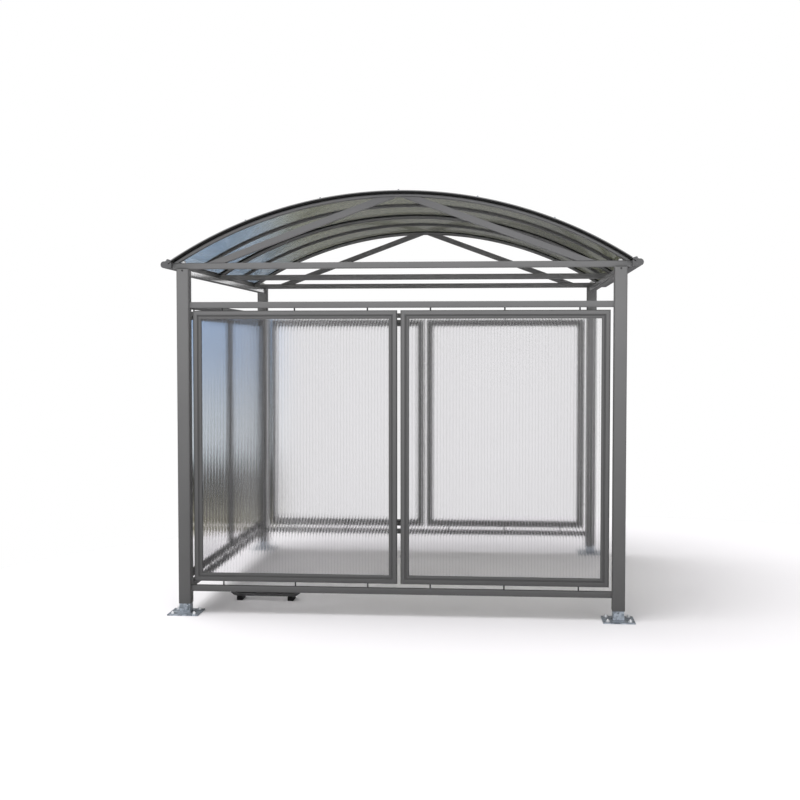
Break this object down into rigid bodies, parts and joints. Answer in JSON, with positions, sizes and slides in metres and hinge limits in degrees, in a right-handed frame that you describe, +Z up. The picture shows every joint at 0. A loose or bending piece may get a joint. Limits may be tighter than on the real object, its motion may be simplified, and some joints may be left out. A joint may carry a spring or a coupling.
{
  "type": "bike shelter",
  "caption": "Arched-roof bicycle shelter with ribbed clear panels in steel frames on the long sides and one end, the other end open, and a low wheel rack inside.",
  "frame": {"origin": "centre of the footprint on the ground", "axes": "+X across the arch towards the open end, +Y from the front wall to the rear wall, +Z up"},
  "size_m": [3.054, 2.78, 2.7129],
  "materials": {
    "painted_tube": "satin grey powder coat",
    "galvanised_foot": "hot-dip galvanised, spangled",
    "edge_strip": "mill finish",
    "cover_strip": "satin grey",
    "panel_frame": "satin grey",
    "seal": "matt",
    "roof_sheet": "clear smoked sheet",
    "wall_sheet": "clear ribbed twin-wall sheet",
    "pin": "dull",
    "rack_bar": "dull",
    "rack_foot": "matt"
  },
  "bodies": {
    "root": {"post_front_left": "painted_tube", "post_front_right": "painted_tube", "post_rear_left": "painted_tube", "post_rear_right": "painted_tube", "foot_front_left": "galvanised_foot", "foot_front_right": "galvanised_foot", "foot_rear_left": "galvanised_foot", "foot_rear_right": "galvanised_foot", "top_rail_front": "painted_tube", "top_rail_rear": "painted_tube", "top_rail_left": "painted_tube", "bottom_rail_front": "painted_tube", "bottom_rail_rear": "painted_tube", "bottom_rail_left": "painted_tube", "tie_front": "painted_tube", "tie_middle": "painted_tube", "tie_rear": "painted_tube", "side_beam_left": "painted_tube", "side_beam_right": "painted_tube", "edge_strips": "edge_strip", "arch_front": "painted_tube", "arch_middle": "painted_tube", "arch_rear": "painted_tube", "struts_front": "painted_tube", "struts_rear": "painted_tube", "glazing_bars": "painted_tube", "roof_seals": "seal", "cover_strips": "cover_strip", "roof_sheet_1": "roof_sheet", "roof_sheet_2": "roof_sheet", "roof_sheet_3": "roof_sheet", "roof_sheet_4": "roof_sheet", "eave_left": "panel_frame", "eave_right": "panel_frame", "frames_front": "panel_frame", "frames_rear": "panel_frame", "frames_left": "panel_frame", "sheets_front": "wall_sheet", "sheets_rear": "wall_sheet", "sheets_left": "wall_sheet", "pins_front": "pin", "pins_rear": "pin", "pins_left": "pin", "rack_bars": "rack_bar", "rack_feet": "rack_foot"}
  },
  "joints": []
}
